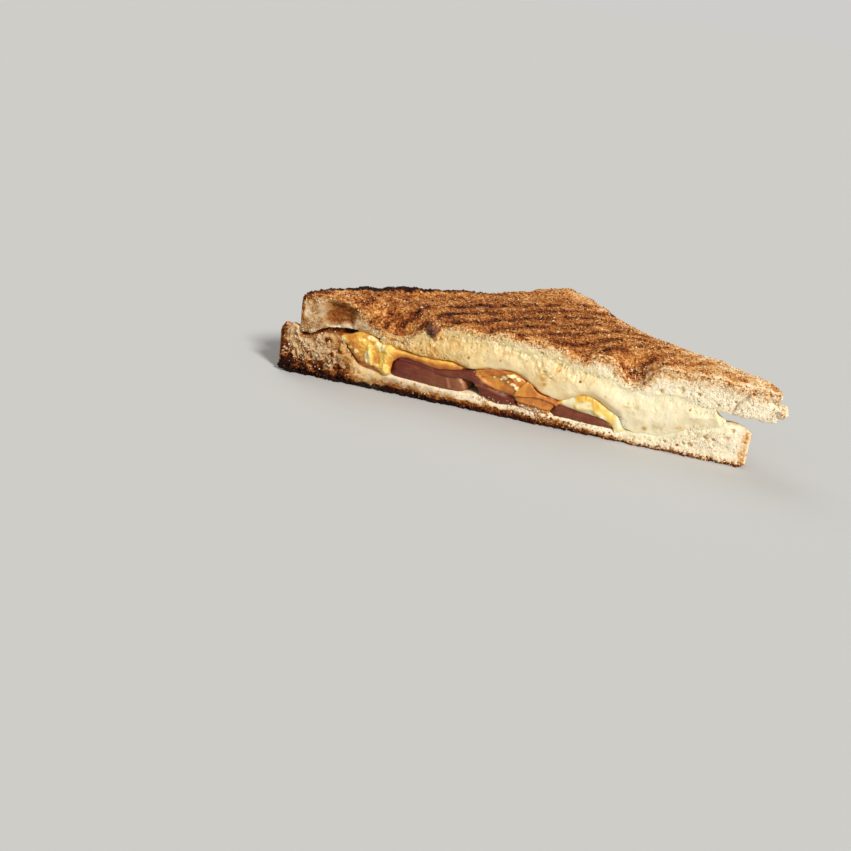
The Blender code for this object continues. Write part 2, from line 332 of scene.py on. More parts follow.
def stripes(points, width):
    """1 on the broken marks of the hot plate's ridges, which run along the left rind."""
    wander = 0.8 * drift(points, 14, 3) + 0.35 * drift(points, 3, 5)
    across = (points[:, 0] - points[:, 1]) / math.sqrt(2) + wander
    nearest = np.clip(np.round((across - STRIPE_FIRST) / STRIPE_GAP), 0, STRIPES - 1)
    away = across - STRIPE_FIRST - nearest * STRIPE_GAP
    broken = smooth(drift(points, 6, 14) + 0.7 * drift(points, 2.2, 15), -0.75, 0.05)
    return np.exp(-((away / width) ** 2)) * broken


def slice_zones(piece, slid, toast_up):
    """The parts of a slice's surface, each as a value from 0 to 1 at every point, and distances in them."""
    points, facing = places(piece), facings(piece)
    x, y, z = points[:, 0] - slid, points[:, 1], points[:, 2]
    cut = smooth(-facing[:, 1], 0.35, 0.75) * fade(y, 1.0, 3.0)
    low, high = cut_edges(points, cut)
    left_rind, right_rind = (SLICE_REACH + x - y) / math.sqrt(2), (SLICE_REACH - x - y) / math.sqrt(2)
    rind_depth = np.minimum(left_rind, right_rind)
    outward = facing[:, 2] if toast_up else -facing[:, 2]
    sideways = smooth((np.abs(facing[:, 0]) + facing[:, 1]) / math.sqrt(2), 0.4, 0.62)
    at_rim = fade(rind_depth + 0.4 * drift(points, 3, 8), 0.6, 1.8)
    return {
        "points": points, "facing": facing, "x": x, "y": y, "z": z, "cut": cut,
        "left_rind": left_rind, "right_rind": right_rind,
        "rind": most(at_rim, sideways) * (1 - cut),
        "crust_at_cut": fade(rind_depth + 0.5 * drift(points, 1.6, 10), 0.3, 1.5) * cut,
        "toasted": smooth(outward, 0.3, 0.7) * (1 - cut),
        "inner": smooth(-outward, 0.3, 0.7),
        "from_toast": high - z if toast_up else z - low,
        "from_filling": z - low if toast_up else high - z,
        "height": np.clip((z - low) / most(high - low, 1.0), 0, 1),
    }


def crumb_relief(zones, pits):
    """How far the crumb's surface stands out, in millimetres: ragged, with air holes of three sizes."""
    points = zones["points"]
    open_crumb = np.clip(zones["cut"] + zones["inner"], 0, 1) * smooth(zones["from_toast"], 0.2, 1.2)
    relief = -0.85 * pits + 0.16 * rough(points, 2.2, 6) + 0.05 * drift(points, 0.7, 9)
    return (relief + 0.3 * drift(points, 6, 7)) * open_crumb


def crumb_pits(points):
    large, middle = pores(points, 5.2, 0.22, 0.3, 1), pores(points, 2.3, 0.45, 0.36, 2)
    return most(most(large, 0.62 * middle), 0.32 * pores(points, 1.15, 0.7, 0.42, 3))


def white_tone(points):
    """How yellow the white cheese is, and the crumb that soaked it up: most at the left."""
    tone = 0.45 - 0.19 * smooth(points[:, 0], -38, -2) - 0.2 * smooth(points[:, 0], 12, 38)
    return tone + 0.05 * drift(points, 5, 106) + 0.05 * drift(points, 1.8, 107)


WHITE_TONES = [
    (0.0, (0.93, 0.84, 0.62)),
    (0.22, (0.86, 0.72, 0.44)),
    (0.42, (0.76, 0.56, 0.25)),
    (0.62, (0.62, 0.33, 0.085)),
    (0.8, (0.28, 0.09, 0.026)),
    (1.0, (0.06, 0.018, 0.01)),
]


def rind_relief(zones):
    points = zones["points"]
    return zones["rind"] * (0.15 * drift(points, 1.6, 11) + 0.3 * drift(points, 6, 12))


lower = sculptable("bread_lower_baked", "bread_lower", BREAD_SKIN)
refine_cut(lower, 2)
zones = slice_zones(lower, -SLID, False)
points, x, y, z, cut = zones["points"], zones["x"] - SLID, zones["y"], zones["z"], zones["cut"]
rind, crust_at_cut, toasted, inner, from_filling = (
    zones[name] for name in ("rind", "crust_at_cut", "toasted", "inner", "from_filling")
)

LOWER_PORES = [
    # middle (along, up), half width
    ((54.9, 4.1), 1.0), ((59.1, 7.7), 0.75), ((61.9, 7.5), 0.6), ((67, 11.6), 0.8), ((47, 3.6), 0.6),
]
left_end = fade(x + 3 * drift(points, 7, 30), -64, -54)
torn = smooth(rough(points, 2.2, 33), -0.45, 0.45)
sliced = smooth(x, -57, -51) * fade(x, -24, -18)  # pressed smooth under the sausage slab
melted = smooth(x, 33, 38) * fade(x, 63, 69)
pits = crumb_pits(points) * (0.45 + 0.55 * smooth(x, -40, 50)) * (1 - 0.7 * sliced)
for k, (at, radius) in enumerate(LOWER_PORES):
    pits = most(pits, cut * spot(points, at, (radius, radius), k, 0.2))
relief = crumb_relief(zones, pits) * (1 - 0.5 * sliced) + rind_relief(zones)
relief += left_end * cut * (0.9 * torn - 0.55)
relief += toasted * (0.15 * rough(points, 1.6, 4) - 0.25 * stripes(points, 1.6))
ragged_foot = fade(z, 0.3, 3.2) * cut
relief += ragged_foot * (0.65 * rough(points, 1.8, 13) + 0.1)
pressed_line = np.exp(-(((from_filling - 1.6) / 1.4) ** 2)) * smooth(x, -57, -50)
pressed_line = pressed_line * fade(x, 28, 36) * (1 - 0.85 * smooth(x, -26, -20) * fade(x, -7, -3))
relief += cut * pressed_line * (0.4 + 0.2 * drift(points, 2.5, 16))
wet = melted * cut * fade(from_filling, 0.6, 2.0)
relief += 0.45 * melted * cut * fade(from_filling, 1.5, 6.0)
beyond_upper = SLICE_REACH + x - y  # below 0 where the lower slice shows beside the upper one
under_upper = inner * fade(x, -60, -54) * smooth(y, 2.2, 4.5) * smooth(beyond_upper / math.sqrt(2), 2.0, 4.0)
points = points + zones["facing"] * (relief * (1 - 0.8 * wet))[:, None]
step = 0.08 * smooth(x, -86, -84.5) + 0.14 * smooth(x, -83.0, -81.5)
step = most(fade(x, -79.7, -79.0), fade(beyond_upper, -0.6, 0.1)) * step * fade(y, 3, 9)
points[:, 2] = most(points[:, 2] * (1 + step) + 3.2 * under_upper, 0.0)
place(lower, points)

char_reach = 2.6 - 0.3 * smooth(x, -30, -22) - 1.2 * smooth(x, 0, 30)
char_reach = char_reach * (1 + 0.4 * drift(points, 2.6, 22) + 0.35 * drift(points, 8, 23))
char_level = 0.97 - 0.22 * smooth(x, -26, -10) - 0.12 * smooth(x, 20, 50) + 0.14 * drift(points, 4, 24)
scorched = fade(z, 0.55 * char_reach, char_reach) * char_level
singed = fade(z, char_reach, char_reach + 1.6 + 1.0 * drift(points, 3, 34))
golden_end = smooth(x + 0.6 * drift(points, 2.0, 35), 69.4, 71.2) * (0.2 + 0.08 * drift(points, 2.2, 25))
golden_end = golden_end * (1 - 0.5 * smooth(x, 72.0, 72.8))
dark_share = 0.36 + 0.46 * fade(z, 1.5, 8) + 0.3 * fade(x, -85, -81) - 0.25 * smooth(z, 9, 13)
burnt_bits = rough(points, 3.4, 36) + 0.35 * drift(points, 0.8, 40) + 1.3 * (dark_share - 0.5)
burnt_bits = smooth(burnt_bits, -0.15, 0.45)
rind_level = 0.5 + 0.12 * drift(points, 9, 26) - 0.1 * smooth(x, 20, 70) + 0.16 * fade(z, 0.5, 4.0)
under_level = 0.62 + 0.14 * drift(points, 12, 28) + 0.2 * stripes(points, 1.8)
burnt_foot = 0.2 * fade(z + drift(points, 3, 45), 2.0, 6.0)
left_edge = fade(x + 0.5 * drift(points, 1.6, 47), -85.4, -84.0)
inside = inner * (1 - cut)
# Painted shade on the inner top of the lower slice at the left, in the gap under the upper slice. It is
# browner and duller further in.
shaded_ledge = inner * fade(x, -60, -50)
flecks, own = dots(points, 2.6, 29)
brown = most(
    cut * scorched,
    toasted * under_level,
    cut * singed * 0.42 * (1 - 0.7 * smooth(x, 15, 45)),
    rind * rind_level,
    crust_at_cut * 0.46 * fade(x, 0, 10),
    cut * golden_end,
    cut * left_end * (0.13 + (0.44 + burnt_foot) * burnt_bits + burnt_foot),
    left_edge * 0.52,
    inside * (0.06 + 0.06 * rough(points, 2.5, 48)),
    # Painted shade on the shaded ledge, browner further in.
    shaded_ledge * (0.22 + 0.26 * smooth(y, 0.5, 3.0) - 0.6 * step + 0.12 * rough(points, 2.0, 43)),
    cut * (own < 0.4) * fade(flecks, 0.1, 0.26) * 0.5 * fade(z, 3, 8),
)
# Dull greyish-brown tint. At the left end and beside the orange cheese it is partly the crumb's own stale
# colour and partly painted shade. It also darkens the singed band and the pressed line.
dull = most(
    left_end * (1.0 - 0.4 * torn + 0.35 * drift(points, 3.2, 31)),
    spot(points, (-62.0, 8.8), (6.5, 5.0), 37),
    0.85 * left_end * fade(z, 3, 8),
    singed * 0.7 * fade(x, 10, 40),
    (0.88 + 0.35 * drift(points, 2.2, 46)) * pressed_line * fade(x, -15, 20),
)
beside_orange = smooth(x + 0.9 * z, -57.5, -52.5) * fade(x, -50, -46)
beside_orange = beside_orange + spot(points, (-64.5, 13.0), (4, 3), 44)
soak = most(
    melted * fade(from_filling, 0.8, 4.2 + 1.5 * drift(points, 4, 38)),
    0.42 * np.clip(beside_orange, 0, 1) * (0.5 + 0.5 * torn),
)
inside_soak = inside * (0.3 + 0.35 * drift(points, 5, 49)) * smooth(x, -50, -30) * fade(x, 55, 70)
soak = most(soak * cut, inside_soak)
even = most(
    0.85 * rind * fade(toasted, 0.1, 0.6), 0.5 * sliced * cut, wet,
    0.6 * left_end * cut * fade(brown, 0.2, 0.4),
)
tone = white_tone(points) + 0.26 * left_end * (0.7 + 0.5 * drift(points, 2.5, 39))
# pit is painted shade in the air holes. dull is partly the crumb's own dull colour and partly painted shade.
paint(lower, brown=brown, pit=pits * cut, dull=dull * most(cut, shaded_ledge), soak=soak, even=even, tone=tone)


def new_group(name, inputs, outputs):
    """An empty shader group with named numbers going in and named results coming out."""
    group = bpy.data.node_groups.new(name, "ShaderNodeTree")
    for label, value in inputs.items():
        socket = group.interface.new_socket(label, in_out="INPUT", socket_type="NodeSocketFloat")
        socket.default_value = value
    for label, kind in outputs.items():
        group.interface.new_socket(label, in_out="OUTPUT", socket_type=f"NodeSocket{kind}")
    return group, group.nodes.new("NodeGroupInput"), group.nodes.new("NodeGroupOutput")


def connect(tree, value, socket):
    """Links a node's result to a socket, or sets the socket to a plain value."""
    if isinstance(value, bpy.types.NodeSocket):
        tree.links.new(value, socket)
    else:
        socket.default_value = value


def maths(tree, operation, *values):
    node = tree.nodes.new("ShaderNodeMath")
    node.operation = operation
    for value, socket in zip(values, node.inputs):
        connect(tree, value, socket)
    return node.outputs[0]


def noise_grain(tree, where, scale, detail):
    node = tree.nodes.new("ShaderNodeTexNoise")
    connect(tree, where, node.inputs["Vector"])
    connect(tree, scale, node.inputs["Scale"])
    node.inputs["Detail"].default_value = detail
    node.inputs["Roughness"].default_value = 0.65
    return maths(tree, "MULTIPLY_ADD", node.outputs[0], 2.0, -1.0)


def grain_group():
    """Grains of two sizes, as crumbs, fat and bubbles have, and round grains with a shade of their own."""
    made = {"Grain": "Float", "Cell": "Float", "Dome": "Float"}
    group, given, result = new_group("grains", {"Size": 1.0, "Fine": 0.5}, made)
    where = group.nodes.new("ShaderNodeTexCoord").outputs["Object"]
    scale = maths(group, "DIVIDE", 1 / MM, given.outputs["Size"])
    coarse = noise_grain(group, where, scale, 2.0)
    fine = noise_grain(group, where, maths(group, "MULTIPLY", scale, 2.7), 2.0)
    total = maths(group, "MULTIPLY_ADD", fine, given.outputs["Fine"], coarse)
    group.links.new(total, result.inputs["Grain"])
    cells = group.nodes.new("ShaderNodeTexVoronoi")
    connect(group, where, cells.inputs["Vector"])
    connect(group, maths(group, "MULTIPLY", scale, 1.15), cells.inputs["Scale"])
    apart = group.nodes.new("ShaderNodeSeparateColor")
    connect(group, cells.outputs["Color"], apart.inputs[0])
    connect(group, maths(group, "MULTIPLY_ADD", apart.outputs[0], 2.0, -1.0), result.inputs["Cell"])
    connect(group, maths(group, "SUBTRACT", 1.0, cells.outputs["Distance"]), result.inputs["Dome"])
    return group


grains = grain_group()


def grain(tree, size, fine, kind="Grain"):
    node = tree.nodes.new("ShaderNodeGroup")
    node.node_tree = grains
    node.inputs["Size"].default_value = size
    node.inputs["Fine"].default_value = fine
    return node.outputs[kind]


def mask(tree, name):
    node = tree.nodes.new("ShaderNodeAttribute")
    node.attribute_name = name
    return node.outputs["Fac"]


def ramp(tree, factor, stops):
    """Colours along a scale from 0 to 1."""
    node = tree.nodes.new("ShaderNodeValToRGB")
    connect(tree, factor, node.inputs[0])
    scale = node.color_ramp.elements
    for _ in stops[2:]:
        scale.new(1.0)
    for element, (at, colour) in zip(scale, stops):
        element.position = at
        element.color = (*colour, 1)
    return node.outputs[0]


def mixed(tree, factor, colour, other, way="MIX"):
    """A colour mixed or multiplied with another, as far as a factor from 0 to 1 says."""
    node = tree.nodes.new("ShaderNodeMix")
    node.data_type, node.blend_type = "RGBA", way
    connect(tree, factor, node.inputs["Factor"])
    connect(tree, colour, node.inputs[6])
    connect(tree, other, node.inputs[7])
    return node.outputs[2]


def new_material(name, subsurface, reach, specular, coat=0.0):
    """A finish whose light sinks in by some millimetres, more so the red of it."""
    material = bpy.data.materials.new(name)
    material.use_nodes = True
    surface = material.node_tree.nodes["Principled BSDF"]
    surface.inputs["Subsurface Weight"].default_value = subsurface
    surface.inputs["Subsurface Radius"].default_value = (1.0, 0.62, 0.36)
    surface.inputs["Subsurface Scale"].default_value = reach * MM
    surface.inputs["Specular IOR Level"].default_value = specular
    surface.inputs["Coat Weight"].default_value = coat
    surface.inputs["Coat Roughness"].default_value = 0.12
    return material, material.node_tree, surface


def set_bump(tree, surface, height, depth, strength=1.0):
    node = tree.nodes.new("ShaderNodeBump")
    node.inputs["Distance"].default_value = depth * MM
    node.inputs["Strength"].default_value = strength
    connect(tree, height, node.inputs["Height"])
    tree.links.new(node.outputs[0], surface.inputs["Normal"])


def bread_material():
    """Browned by the hot plate from cream through gold to nearly black, with grains of every shade, and
    darkened with painted shade in places.
    """
    material, tree, surface = new_material("toasted_bread", 0.35, 1.0, 0.14)
    brown, pit, dull, soak, even, tone = (
        mask(tree, name) for name in ("brown", "pit", "dull", "soak", "even", "tone")
    )
    fine, cell, dome = (grain(tree, 0.7, 0.8, kind) for kind in ("Grain", "Cell", "Dome"))
    blotch = grain(tree, 2.6, 0.6)
    grainy = maths(tree, "MULTIPLY_ADD", even, -0.8, 1.0)
    unevenness = maths(tree, "MULTIPLY", brown, maths(tree, "MULTIPLY_ADD", brown, -1.3, 1.35))
    unevenness = maths(tree, "MULTIPLY", maths(tree, "ADD", unevenness, 0.035), grainy)
    mottle = maths(tree, "MULTIPLY_ADD", cell, 0.4, maths(tree, "MULTIPLY", fine, 0.9))
    mottle = maths(tree, "MULTIPLY_ADD", blotch, 0.4, mottle)
    shade = maths(tree, "MULTIPLY_ADD", mottle, unevenness, brown)
    shade = maths(tree, "MAXIMUM", shade, maths(tree, "MULTIPLY", brown, 0.6))
    # Painted shade in the air holes: the colour moves towards warm tan there.
    shade = maths(tree, "MULTIPLY_ADD", pit, 0.15, shade)
    colour = ramp(tree, shade, [
        (0.0, (0.95, 0.84, 0.64)),
        (0.12, (0.86, 0.66, 0.41)),
        (0.27, (0.69, 0.33, 0.09)),
        (0.42, (0.45, 0.15, 0.028)),
        (0.58, (0.215, 0.047, 0.009)),
        (0.76, (0.075, 0.014, 0.004)),
        (1.0, (0.013, 0.006, 0.004)),
    ])
    # The dull tint darkens with the crumb's own dull colour and with painted shade: at the left ends, in the
    # hollow, in the tear and on the shaded ledge.
    dullness = maths(tree, "MULTIPLY", dull, maths(tree, "MULTIPLY_ADD", blotch, 0.6, 1.0))
    colour = mixed(tree, dullness, colour, (0.46, 0.36, 0.27, 1), "MULTIPLY")
    melted_in = ramp(tree, maths(tree, "MULTIPLY_ADD", blotch, 0.06, tone), WHITE_TONES)
    wet = maths(tree, "MULTIPLY", maths(tree, "MULTIPLY", soak, 2.0), maths(tree, "SUBTRACT", 1.0, brown))
    colour = mixed(tree, wet, colour, melted_in)
    tree.links.new(colour, surface.inputs["Base Color"])
    roughness = maths(tree, "MULTIPLY_ADD", soak, -0.42, 0.82)
    roughness = maths(tree, "MULTIPLY_ADD", brown, -0.2, roughness)
    oiled = maths(tree, "MULTIPLY", maths(tree, "MULTIPLY", brown, cell), grainy)
    roughness = maths(tree, "MULTIPLY_ADD", oiled, -0.75, roughness)
    tree.links.new(maths(tree, "MAXIMUM", roughness, 0.22), surface.inputs["Roughness"])
    height = maths(tree, "MULTIPLY", maths(tree, "MULTIPLY_ADD", dome, 0.9, fine), grainy)
    height = maths(tree, "MULTIPLY", height, maths(tree, "MULTIPLY_ADD", brown, 1.0, 0.28))
    set_bump(tree, surface, height, 0.18)
    return material


toasted_bread = bread_material()
lower.data.materials.append(toasted_bread)
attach(lower, "root")
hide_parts("bread_lower")

# ---------------------------------------------------------------------------------------------------------
# Smoked sausage: a thick slab at the left, a thin dark slice that lies over it and runs down to the bread,
# and another thin slice at the right. It is moist fine meat, darker along its rim and most along the top,
# and the knife cut it.
# ---------------------------------------------------------------------------------------------------------
SAUSAGE_SKIN = 0.62
TAIL_DROP = 2.0  # how far the right slice thins out towards its end
BITE = 0.25  # how far soft layers press into each other


def ray_skin(mesh):
    """A surface that rays can be cast at."""
    return BVHTree.FromPolygons([v.co for v in mesh.vertices], [p.vertices for p in mesh.polygons])


def cling(piece, neighbours, reach, first=-math.inf, last=math.inf):
    """Lets a soft layer swell up and down until it sits against the layers over and under it."""
    skins = [ray_skin(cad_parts[name].data) for name in neighbours]
    points, facing = places(piece), facings(piece)
    for point, way in zip(points, facing):
        if abs(way[2]) < 0.2 or not first < point[0] < last:
            continue
        up = math.copysign(1.0, way[2])
        start = cut_middle + Vector((point[0], max(point[1], 0.5), point[2])) * MM
        hits = [skin.ray_cast(start, Vector((0, 0, up)), reach * MM)[3] for skin in skins]
        gaps = [hit / MM for hit in hits if hit is not None]
        if gaps:
            share = min((point[0] - first) / 4, 1) * min((abs(way[2]) - 0.2) / 0.5, 1)
            point[2] += up * (min(gaps) + BITE) * share
    place(piece, points)
    with shaped(piece.data) as shape:
        near_cut = [corner for corner, point in zip(shape.verts, points) if point[1] < 3]
        for _ in range(3):
            soften(shape, near_cut)


def sausage_material():
    material, tree, surface = new_material("smoked_sausage", 0.25, 1.4, 0.35, 0.12)
    tone = mask(tree, "tone")
    fibre = grain(tree, 1.1, 0.7)
    shade = maths(tree, "MULTIPLY_ADD", fibre, 0.11, tone)
    colour = ramp(tree, shade, [
        (0.0, (0.07, 0.007, 0.006)),
        (0.25, (0.15, 0.024, 0.01)),
        (0.5, (0.215, 0.066, 0.026)),
        (0.75, (0.36, 0.145, 0.066)),
        (1.0, (0.66, 0.38, 0.24)),
    ])
    tree.links.new(colour, surface.inputs["Base Color"])
    surface.inputs["Roughness"].default_value = 0.4
    set_bump(tree, surface, fibre, 0.1, 0.7)
    return material


smoked_sausage = sausage_material()


def cut_zones(piece, span=1):
    """The cut face of a filling: where it is, its lower and upper edge, and how far up it each point is."""
    points, facing = places(piece), facings(piece)
    cut = smooth(-facing[:, 1], 0.2, 0.7) * fade(points[:, 1], 0.8, 2.5)
    low, high = cut_edges(points, cut, span)
    share = (points[:, 2] - low) / most(high - low, 0.5)
    return points, facing, cut, low, high, np.clip(share, 0, 1)


def dress_sausage(node, neighbours, recess_at, tone_at, curls=()):
    """Swells a slice of sausage against its neighbours, wrinkles its face and darkens its rim, most along
    the top.
    """
    piece = sculptable(node + "_sliced", node, SAUSAGE_SKIN)
    cling(piece, neighbours, 1.6)
    refine_cut(piece, 1)
    points, facing, cut, low, high, share = cut_zones(piece)
    rim = fade(np.minimum(points[:, 2] - low, high - points[:, 2]), 0.15, 1.1)
    streaks = drift(points * (0.22, 1, 1.5), 0.9, 41)
    marbled = smooth(drift(points * (0.5, 1, 1.0), 1.3, 45), 0.25, 0.7)
    relief = cut * (0.15 * drift(points, 3, 42) + 0.1 * streaks - recess_at(points))
    tone = tone_at(points) + 0.09 * streaks + 0.07 * drift(points, 4, 43) + 0.08 * marbled
    tone -= 0.17 * rim * smooth(share, 0.2, 0.8)
    points[:, 2] -= TAIL_DROP * share * smooth(points[:, 0], 25.5, 31.0) * fade(points[:, 1], 4, 8)
    for line, width, lift in curls:
        curl = stroke(points, line, width, 44, 0.15) * cut
        relief += lift * curl
        tone += 0.34 * curl
    place(piece, points + facing * relief[:, None])
    paint(piece, tone=tone)
    piece.data.materials.append(smoked_sausage)
    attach(piece, "root")
    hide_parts(node)
    return piece


slab = dress_sausage(
    "sausage_left", ["bread_lower", "sausage_middle", "cheese_orange"],
    lambda points: 0.3 + 0.25 * smooth(points[:, 0], -24, -20),
    lambda points: 0.2 + 0.26 * smooth(points[:, 0], -46, -27) + 0.1 * smooth(points[:, 0], -27, -22),
    [(((-22.8, 10.4), (-20.8, 8.4), (-20.2, 6.8)), 0.9, 0.5), (((-26.5, 9.0), (-25.5, 6.5)), 0.5, 0.2)],
)
thin_slice = dress_sausage(
    "sausage_middle", ["bread_lower", "sausage_left", "cheese_orange"],
    lambda points: 0.05 - 0.45 * smooth(points[:, 0], -24, -18) * fade(points[:, 0], -9, -5),
    lambda points: 0.24 + 0.12 * smooth(points[:, 0], -38, -28) - 0.12 * smooth(points[:, 0], -24, -14),
    [(((-12.5, 9.0), (-9.5, 8.4)), 0.3, 0.3), (((-17.0, 9.6), (-11.0, 8.4), (-6.5, 7.4)), 0.35, 0.25)],
)
right_slice = dress_sausage(
    "sausage_right", ["bread_lower", "cheese_orange"],
    lambda points: 0.05 + 0.0 * points[:, 0],
    lambda points: 0.38 + 0.18 * smooth(points[:, 0], 22, 31),
)

# ---------------------------------------------------------------------------------------------------------
# Orange cheese: sheets that melted in the hot press, curled and folded over the sausage, and ran down at
# the left. It is glossy and half clear, caramel in the folds with painted shade where a sheet tucks under
# another, and bright yellow where it is thick.
# ---------------------------------------------------------------------------------------------------------
CHEESE_SKIN = 0.8
LEFT_LUMPS = [
    # middle (along, up), half width and height, paleness
    ((-64.3, 15.0), (2.4, 1.4), 0.93), ((-54.2, 11.4), (1.5, 2.5), 0.94), ((-49.6, 15.8), (3.0, 1.9), 0.92),
    ((-53.6, 17.6), (2.4, 0.9), 0.9), ((-58.6, 12.2), (1.0, 0.9), 0.92), ((-47.6, 8.5), (1.4, 1.8), 0.84),
    ((-61.0, 13.2), (1.2, 0.8), 0.86), ((-57.0, 16.6), (1.6, 0.8), 0.84), ((-51.0, 9.0), (1.2, 0.9), 0.84),
]
MIDDLE_LUMPS = [
    ((-7.7, 13.7), (1.3, 0.75), 1.0), ((-4.8, 14.8), (1.4, 0.75), 1.0), ((-2.9, 14.0), (0.9, 0.8), 0.97),
    ((-4.4, 12.1), (1.2, 0.6), 1.0), ((-3.0, 11.2), (1.0, 0.7), 0.98), ((-8.6, 12.8), (0.6, 0.5), 0.95),
    ((-11.0, 13.2), (0.5, 0.4), 0.93), ((-6.3, 14.6), (0.7, 0.5), 0.95), ((-6.2, 12.6), (0.6, 0.4), 0.92),
]
YELLOW_PATCHES = [((18.7, 12.4), (3.0, 2.2)), ((24.2, 11.5), (2.7, 2.4)), ((21.4, 12.2), (1.6, 0.8))]
RING_CURL = (
    (-18.0, 12.4), (-16.6, 13.2), (-14.9, 14.4), (-11.8, 15.5), (-8.4, 15.7), (-5.6, 14.9), (-3.6, 13.2),
)
RING_INSIDE = ((-15.5, 12.0), (-13.6, 13.4), (-11.0, 14.2))
PEAK = (
    (-3.4, 10.0), (-2.2, 11.4), (-1.1, 12.8), (0.3, 14.0),
    (2.0, 12.4), (3.6, 11.0), (6.0, 10.2), (10.9, 9.4),
)
PEAK_GLEAM = ((1.1, 13.0), (2.5, 11.7), (4.2, 10.5), (6.6, 9.8))
FOLD_OVER = ((-4.0, 8.6), (0.0, 8.9), (3.0, 9.4), (6.1, 9.2), (8.5, 8.8), (10.9, 8.1))
FOLD_UNDER = ((-3.0, 6.9), (1.2, 6.5), (5.1, 6.2), (7.7, 6.0), (10.7, 6.7))
LEFT_DRIP = ((-54.3, 15.1), (-53.3, 11.5), (-52.9, 9.1))
LEFT_RUN = ((-47.0, 15.9), (-48.6, 10.9), (-48.5, 7.7), (-46.4, 6.9))
SLAB_STRIP = ((-38.0, 13.7), (-31.0, 14.0), (-25.7, 14.2), (-22.0, 12.9), (-18.5, 11.6))
YELLOW_TAIL = ((25.9, 9.7), (27.6, 8.2), (29.2, 7.3))
PINK_STRIP = ((17.5, 8.7), (20.0, 8.9), (23.2, 9.0), (26.1, 7.0), (28.1, 5.9))


def sheet_edge(points, line, fall, seed=0, ragged=0.1):
    """A sheet that ends at a line on the cut face: its height below the line and its height above it."""
    wander = np.stack([drift(points, 2.0, seed), drift(points, 2.0, seed + 1)], -1)
    flat = points[:, (0, 2)] + ragged * wander
    nearest, side = np.full(len(points), 99.0), np.zeros(len(points))
    for start, end in zip(line, line[1:]):
        start, along = np.array(start), np.subtract(end, start)
        share = np.clip((flat - start) @ along / (along @ along), 0, 1)
        off = flat - start - share[:, None] * along
        away = np.linalg.norm(off, axis=-1)
        over = along[0] * off[:, 1] - along[1] * off[:, 0]
        side = np.where(away < nearest, np.sign(over), side)
        nearest = np.minimum(nearest, away)
    ends = smooth(flat[:, 0], line[0][0] - 0.8, line[0][0] + 0.8)
    ends = ends * fade(flat[:, 0], line[-1][0] - 0.8, line[-1][0] + 0.8)
    away = nearest * side
    below = np.exp(-nearest / fall) * fade(away, -0.16, 0.1) * ends
    above = np.exp(-nearest / fall) * smooth(away, -0.1, 0.16) * ends
    return below, above


orange = sculptable("cheese_orange_melted", "cheese_orange", CHEESE_SKIN)
cling(orange, ["bread_lower", "sausage_left", "sausage_middle", "sausage_right"], 3.0)
cling(orange, ["bread_upper", "cheese_white"], 4.5, -62.0, -46.0)
even_skin(orange, CHEESE_SKIN)
refine_cut(orange, 2)
points, facing, cut, low, high, share = cut_zones(orange)
x, y, z = points[:, 0], points[:, 1], points[:, 2]
leftwards, rightwards = fade(x, -47.5, -43.5), smooth(x, 10.5, 13.5)

tone = 0.39 + 0.06 * drift(points, 4, 51) + 0.06 * drift(points, 1.5, 52)
left_tone = 0.09 + 0.11 * drift(points, 3.2, 53) + 0.1 * smooth(z, 9, 15) - 0.08 * smooth(-x, 56, 62)
tone += leftwards * left_tone
relief = 0.22 * drift(points, 4, 54) + 0.06 * drift(points, 1.7, 55)
relief += leftwards * (0.26 * drift(points, 2.6, 56) + 0.35 * drift(points, 6.0, 57))
tone += leftwards * (0.1 * rough(points, 1.3, 45) - 0.1 * fade(z - low, 0.0, 3.0))
relief += leftwards * 0.24 * rough(points, 1.1, 50)
away, own = dots(points, 1.9, 51)
bubbles = leftwards * (own < 0.45) * fade(away, 0.14, 0.34)
relief += 0.3 * bubbles
tone += (0.26 * own - 0.02) * bubbles * 2.0

over_slab = fade(x, -21, -17) * (1 - leftwards)
tone += over_slab * (0.34 * smooth(share + 0.25 * drift(points, 2.5, 49), 0.35, 1.0) - 0.02)
strip = stroke(points, SLAB_STRIP, 0.9, 57)
relief += 0.2 * strip * over_slab
tone += over_slab * 0.1 * drift(points * (0.6, 1, 1), 1.4, 48)

basin = spot(points, (-12.0, 12.0), (5.8, 2.6), 58)
relief -= 0.9 * basin * smooth(z - low, 0.3, 1.6)
tone += 0.07 * basin + 0.1 * basin * smooth(drift(points * (1, 1, 2.2), 2.0, 47), -0.1, 0.6)
ring, ring_above = sheet_edge(points, RING_CURL, 0.8, 59)
relief += 1.15 * ring + 0.25 * ring_above
tone -= 0.16 * ring * smooth(x, -17, -12)
tone += 0.22 * stroke(points, ((-21, 12.8), (-18.8, 14.0), (-16.0, 15.4)), 0.7, 60)
inside_ring = stroke(points, RING_INSIDE, 0.4, 61)
relief += 0.45 * inside_ring
tone -= 0.12 * inside_ring

peak, beyond_peak = sheet_edge(points, PEAK, 1.5, 62)
right_of_peak = smooth(x, 0.0, 1.0)
relief += 1.1 * peak - 0.25 * beyond_peak
tone += peak * (0.14 - 0.16 * right_of_peak)
rust = stroke(points, PEAK[3:], 0.42, 46, 0.1)
tone -= 0.2 * rust
gleam = stroke(points, PEAK_GLEAM, 0.42, 63, 0.1)
tone += 0.2 * gleam
relief += 0.2 * gleam
# Painted shade under each fold's edge, where the sheet tucks in: dark is how much it darkens there.
for line, dark, lift in ((FOLD_OVER, 0.1, 0.6), (FOLD_UNDER, 0.08, 0.45)):
    tucked, sheet = sheet_edge(points, line, 1.1, 65)
    relief += lift * sheet - 0.25 * tucked
    tone += 0.07 * sheet - dark * tucked
glow = spot(points, (7.0, 4.6), (3.6, 1.6), 66)
tone += 0.1 * glow

